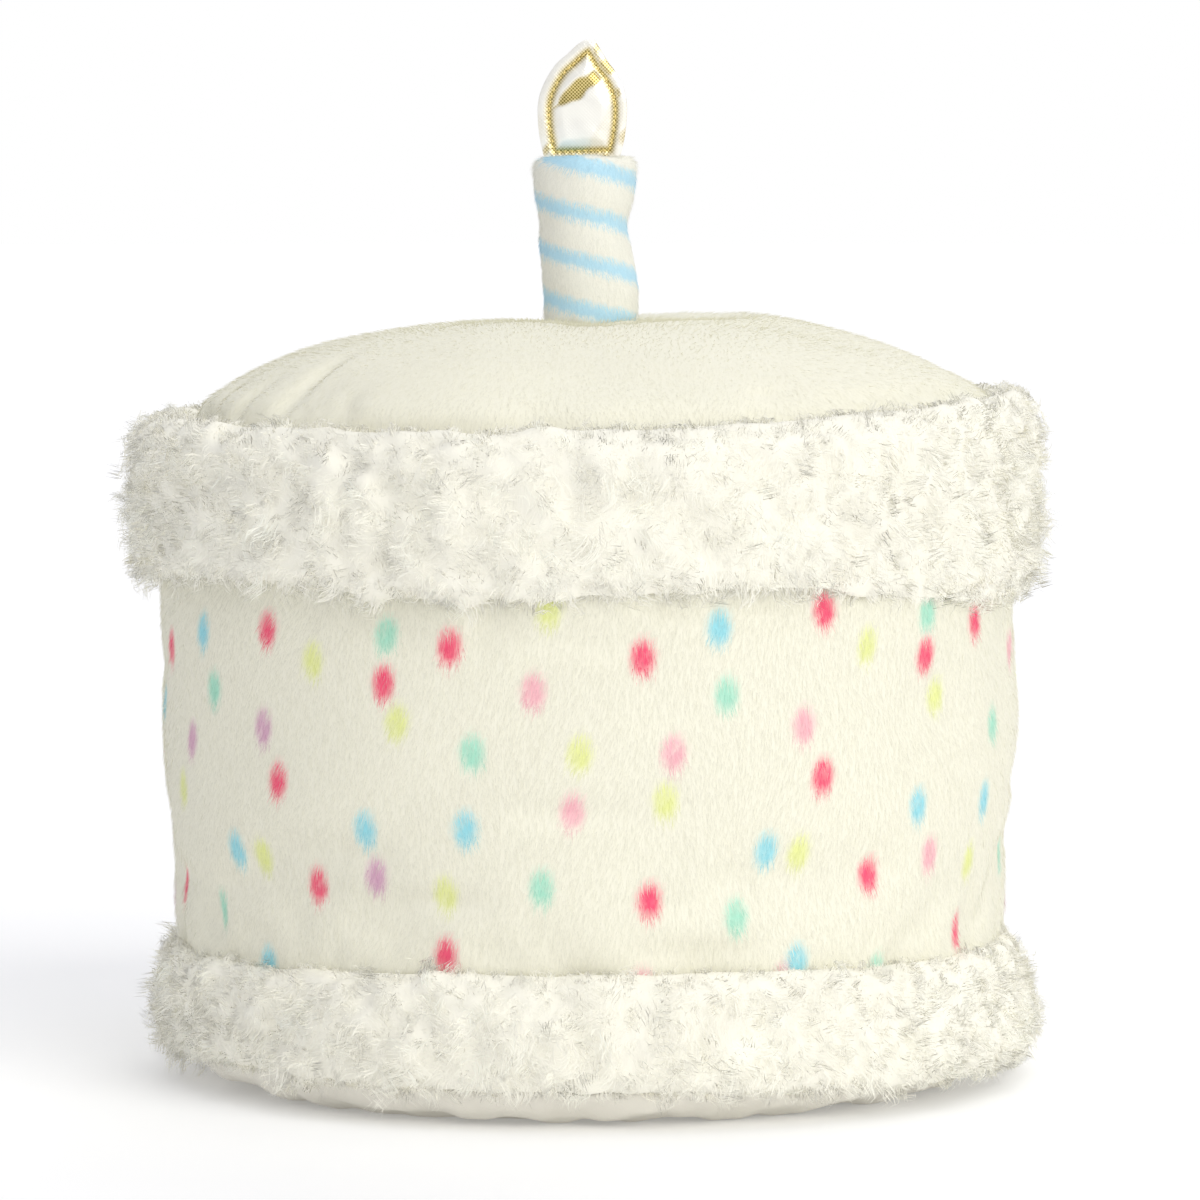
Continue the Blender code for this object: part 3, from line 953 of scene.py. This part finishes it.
def foil_half_thickness(inward, run):
    """Half the flame's thickness: a rolled edge, a drawn-in seam with puckers, a padded middle."""
    edge = 0.12 * MM + 0.48 * MM * np.sqrt(np.clip(inward / (1.0 * MM), 0, 1))
    seam = np.exp(-((inward - SEAM_IN) / SEAM_HALF_WIDTH) ** 2)
    pad = 0.85 * MM * ease((inward - SEAM_IN) / (3.2 * MM))
    pucker = 0.10 * MM * np.sin(run * tau / STITCH_PITCH) * np.exp(-np.abs(inward - SEAM_IN) / MM)
    return edge - 0.34 * MM * seam + pad + pucker * ease(inward / (0.8 * MM))


def glint_of(spots, inward):
    """The slanting crease across the flame's upper middle, whose mask also paints a glint into the
    foil's tone.
    """
    side, rise = spots[:, 0] - GLINT_MIDDLE[0], spots[:, 1] - GLINT_MIDDLE[1]
    along = side * cos(GLINT_SLOPE) + rise * sin(GLINT_SLOPE)
    across = rise * cos(GLINT_SLOPE) - side * sin(GLINT_SLOPE)
    frayed = ripples(np.stack([spots[:, 0], spots[:, 1], spots[:, 0] * 0], 1), 4 * MM, 85)
    half = (1.75 + 0.35 * frayed) * MM * np.sqrt(np.clip(1 - (along / (6.4 * MM)) ** 2, 0.01, 1))
    return (ease((half - np.abs(across)) / (0.9 * MM) + 0.4)
            * ease((inward - 3.2 * MM) / (0.6 * MM)))


def flame_cloth_mesh():
    """Both faces of the flame, meeting round its edge."""
    mesh = bmesh.new()
    for face in (-1, 1):
        made = bmesh.ops.create_grid(mesh, x_segments=FLAME_COLUMNS, y_segments=FLAME_ROWS,
                                     size=1.0)["verts"]
        bmesh.ops.translate(mesh, verts=made, vec=(0, 0, face))
    mesh.verts.index_update()
    grid = np.array([vert.co for vert in mesh.verts])
    left, right = (up_side(side, (grid[:, 1] + 1) / 2) for side in (LEFT_SIDE, RIGHT_SIDE))
    spots = left + (right - left) * (0.5 + 0.5 * np.sin(grid[:, 0] * pi / 2))[:, None]
    across, climb = spots.T
    inward, run = from_outline(spots, flame_outline(OUTLINE_STEPS))
    rim = (np.abs(grid[:, 0]) > 0.9999) | (np.abs(grid[:, 1]) > 0.9999)
    half = np.where(rim, 0.0, foil_half_thickness(inward, run))
    glint = glint_of(spots, inward)
    crumple = 0.10 * MM * ripples(np.stack([across, climb, grid[:, 2]], 1), 5 * MM, 81)
    deep = half - 0.30 * MM * glint + crumple * ease(inward / (2 * MM))
    for vert, side, height, out, face in zip(mesh.verts, across, climb, deep, grid[:, 2]):
        vert.co = (side, face * out, height)
    bmesh.ops.remove_doubles(mesh, verts=mesh.verts, dist=0.5e-6)
    bmesh.ops.recalc_face_normals(mesh, faces=mesh.faces)
    data = finished(mesh, "flame_cloth")
    data.shade_smooth()
    return data


def foil_tone(points):
    """How gold the foil shows: along its seam, in a painted glint along the crease and in patches
    round its edge.
    """
    spots = points[:, [0, 2]]
    inward, _ = from_outline(spots, flame_outline(OUTLINE_STEPS))
    seam = np.exp(-((inward - SEAM_IN) / (0.85 * MM)) ** 2)
    blotches = ripples(points, 7 * MM, 83)
    patches = 0.8 * ease((blotches - 0.1) / 0.6) * ease((SEAM_IN - inward) / (1.2 * MM))
    faint = 0.10 * ease((ripples(points, 9 * MM, 84) - 0.2) / 0.8)
    # The glint term is a painted reflection: a gold band along the crease.
    return np.clip(np.maximum.reduce([seam, 0.95 * glint_of(spots, inward), patches, faint]), 0, 1)


def foil_group():
    """Woven foil: a slanting grid of dark gaps that shows where the foil's tone is strong."""
    group, start, end = node_group(
        "Woven foil",
        (("Pale", "NodeSocketColor", (*FOIL_PALE, 1)), ("Gold", "NodeSocketColor", (*FOIL_GOLD, 1)),
         ("Dark", "NodeSocketColor", (*FOIL_DARK, 1)), ("Tone", "NodeSocketFloat", 0.0),
         ("Turns", "NodeSocketFloat", pi / WEAVE_PITCH)),
        (("Colour", "NodeSocketColor"), ("Height", "NodeSocketFloat")))
    place = add_node(group, "TexCoord").outputs["Object"]
    split = add_node(group, "SeparateXYZ", {0: place}).outputs

    def maths(kind, *values):
        return add_node(group, "Math", dict(enumerate(values)), operation=kind).outputs[0]

    waves = []
    for kind in ("ADD", "SUBTRACT"):
        level = maths("MULTIPLY", maths(kind, split["X"], split["Z"]), HALF_ROOT)
        waves.append(maths("COSINE", maths("MULTIPLY", level, start.outputs["Turns"])))
    gaps = add_node(group, "MapRange", {"From Min": 0.05, "From Max": 0.55,
                                        "Value": maths("ABSOLUTE", maths("MULTIPLY", *waves))},
                    interpolation_type="SMOOTHSTEP").outputs["Result"]
    tone = start.outputs["Tone"]
    gilded = colour_mix(group, tone, start.outputs["Pale"], start.outputs["Gold"])
    woven = colour_mix(group, maths("MULTIPLY", gaps, tone), gilded, start.outputs["Dark"])
    fill(group, end, {"Colour": woven, "Height": maths("MULTIPLY", gaps, -1.0)})
    return group


def foil_look():
    """Gold foil cloth: bright and half metal where it is pale, more metal where it is gold."""
    look, tree, shader = new_look("Gold foil")
    tone = add_node(tree, "Attribute", attribute_name="tone").outputs["Fac"]
    foil = add_node(tree, "Group", node_tree=foil_group())
    fill(tree, foil, {"Tone": tone})
    metal = add_node(tree, "MapRange", {"To Min": 0.35, "To Max": 0.75, "Value": tone})
    bump = add_node(tree, "Bump", {"Strength": 0.35, "Distance": 0.05 * MM,
                                   "Height": foil.outputs["Height"]})
    fill(tree, shader, {"Roughness": 0.30, "Base Color": foil.outputs["Colour"],
                        "Metallic": metal.outputs["Result"], "Normal": bump.outputs["Normal"]})
    return look


def thread_look():
    """Gold thread, with a fine twist in its tone."""
    look, tree, shader = new_look("Gold thread")
    place = add_node(tree, "TexCoord").outputs["Object"]
    twist = add_node(tree, "TexNoise", {"Scale": 2500.0, "Vector": place})
    tone = colour_mix(tree, twist.outputs["Fac"], tuple(value * 0.8 for value in THREAD_GOLD),
                      THREAD_GOLD)
    fill(tree, shader, {"Metallic": 0.4, "Roughness": 0.35, "Base Color": tone})
    return look


def stitch_mesh():
    """One stitch: a short round thread that dips into the cloth at both ends."""
    mesh = bmesh.new()
    bmesh.ops.create_uvsphere(mesh, u_segments=8, v_segments=8, radius=1.0)
    for vert in mesh.verts:
        along = vert.co.z
        vert.co = (along * STITCH_LENGTH / 2, vert.co.y * THREAD_RADIUS,
                   vert.co.x * THREAD_RADIUS * 0.9)
        vert.co.z -= 0.18 * MM * along * along
    return finished(mesh, "stitch")


def seam_thread():
    """Running stitches round the seam on both faces, joined into one piece."""
    outline = flame_outline(OUTLINE_STEPS)
    ahead = unit(np.roll(outline, -1, 0) - np.roll(outline, 1, 0))
    inner = outline + np.stack([ahead[:, 1], -ahead[:, 0]], 1) * SEAM_IN
    inward, _ = from_outline(inner, outline)
    inner = inner[inward > SEAM_IN * 0.97]
    steps = np.linalg.norm(np.diff(inner, axis=0, append=inner[:1]), axis=1)
    run = np.concatenate([[0.0], np.cumsum(steps)])
    closed = np.concatenate([inner, inner[:1]])
    count = int(run[-1] / STITCH_PITCH)
    stitch = stitch_mesh()
    joined = bmesh.new()
    for face in (-1, 1):
        for index in range(count):
            middle = (index + 0.5) * run[-1] / count
            ends = [Vector((np.interp(middle + reach, run, closed[:, 0]), 0,
                            np.interp(middle + reach, run, closed[:, 1])))
                    for reach in (-STITCH_LENGTH / 2, STITCH_LENGTH / 2)]
            way = (ends[1] - ends[0]).normalized()
            out = Vector((0, face, 0))
            before = len(joined.verts)
            joined.from_mesh(stitch)
            joined.verts.ensure_lookup_table()
            place = (ends[0] + ends[1]) / 2 + out * 0.34 * MM
            for vert in joined.verts[before:]:
                vert.co = place + way * vert.co.x + way.cross(out) * vert.co.y + out * vert.co.z
    bmesh.ops.recalc_face_normals(joined, faces=joined.faces)
    data = finished(joined, "flame_thread")
    bpy.data.meshes.remove(stitch)
    data.shade_smooth()
    return data


flame_cloth = new_piece("flame_cloth", flame_cloth_mesh(), "flame", foil_look())
tones = flame_cloth.data.attributes.new("tone", "FLOAT", "POINT")
tones.data.foreach_set("value", foil_tone(points_of(flame_cloth)))

new_piece("flame_thread", seam_thread(), "flame", thread_look())

# --------------------------------------
# Floor, light and camera
# --------------------------------------
CAMERA_AWAY = 1.38
CAMERA_HEIGHT = 0.205
PICTURE_WIDTH = 0.2664
SENSOR = 36.0
LOOK_AT = Vector((2.4 * MM, 0.0, 105 * MM))
AMBIENT_TINT = (0.945, 0.960, 1.04)
AMBIENT_STRENGTH = 0.49
FLOOR_RADIUS = 12.0
FLOOR_GLOW = 0.14
WARM = (1.0, 0.985, 0.93)
WARMISH = (1.0, 0.985, 0.95)


def add_floor():
    """A wide pale floor."""
    mesh = bmesh.new()
    bmesh.ops.create_circle(mesh, cap_ends=True, segments=96, radius=FLOOR_RADIUS)
    data = finished(mesh, "floor")
    floor = bpy.data.objects.new("floor", data)
    bpy.context.scene.collection.objects.link(floor)
    look, tree, shader = new_look("Floor")
    fill(tree, shader, {"Base Color": (0.92, 0.92, 0.92, 1), "Roughness": 1.0,
                        "Specular IOR Level": 0.0, "Emission Color": (1, 1, 1, 1),
                        "Emission Strength": FLOOR_GLOW})
    data.materials.append(look)


def add_world(seen, lit):
    """White all round: full white to the eye, softer as a light."""
    world = bpy.data.worlds.new("Studio")
    bpy.context.scene.world = world
    world.use_nodes = True
    tree = world.node_tree
    eye = add_node(tree, "LightPath").outputs["Is Camera Ray"]
    strength = add_node(tree, "MapRange", {"To Min": lit, "To Max": seen, "Value": eye})
    fill(tree, tree.nodes["Background"], {"Color": colour_mix(tree, eye, AMBIENT_TINT, WHITE),
                                          "Strength": strength.outputs["Result"]})


def add_lamp(name, round_from_front, up, spread, strength, colour=(1, 1, 1)):
    """A broad far light, by its degrees to the right of the front and above the floor."""
    data = bpy.data.lights.new(name, "SUN")
    data.angle = radians(spread)
    data.energy = strength * pi
    data.color = colour
    lamp = bpy.data.objects.new(name, data)
    side, rise = radians(round_from_front), radians(up)
    place = Vector((cos(rise) * sin(side), -cos(rise) * cos(side), sin(rise)))
    lamp.rotation_euler = place.to_track_quat("Z", "Y").to_euler()
    lamp.location = place
    bpy.context.scene.collection.objects.link(lamp)


def add_camera():
    """The view from the front, a little above the cake's top."""
    data = bpy.data.cameras.new("camera")
    camera = bpy.data.objects.new("camera", data)
    camera.location = (LOOK_AT.x, -CAMERA_AWAY, CAMERA_HEIGHT)
    towards = LOOK_AT - camera.location
    camera.rotation_euler = towards.to_track_quat("-Z", "Y").to_euler()
    data.sensor_width = SENSOR
    data.lens = SENSOR * towards.length / PICTURE_WIDTH
    bpy.context.scene.collection.objects.link(camera)
    bpy.context.scene.camera = camera


add_floor()
add_world(1.0, AMBIENT_STRENGTH)
add_lamp("key", 36, 30, 46, 0.47, WARM)
add_lamp("top", 0, 78, 50, 0.17, WARMISH)
add_lamp("rim", 165, 35, 50, 0.22)
add_camera()
bpy.context.scene.view_settings.view_transform = "Standard"
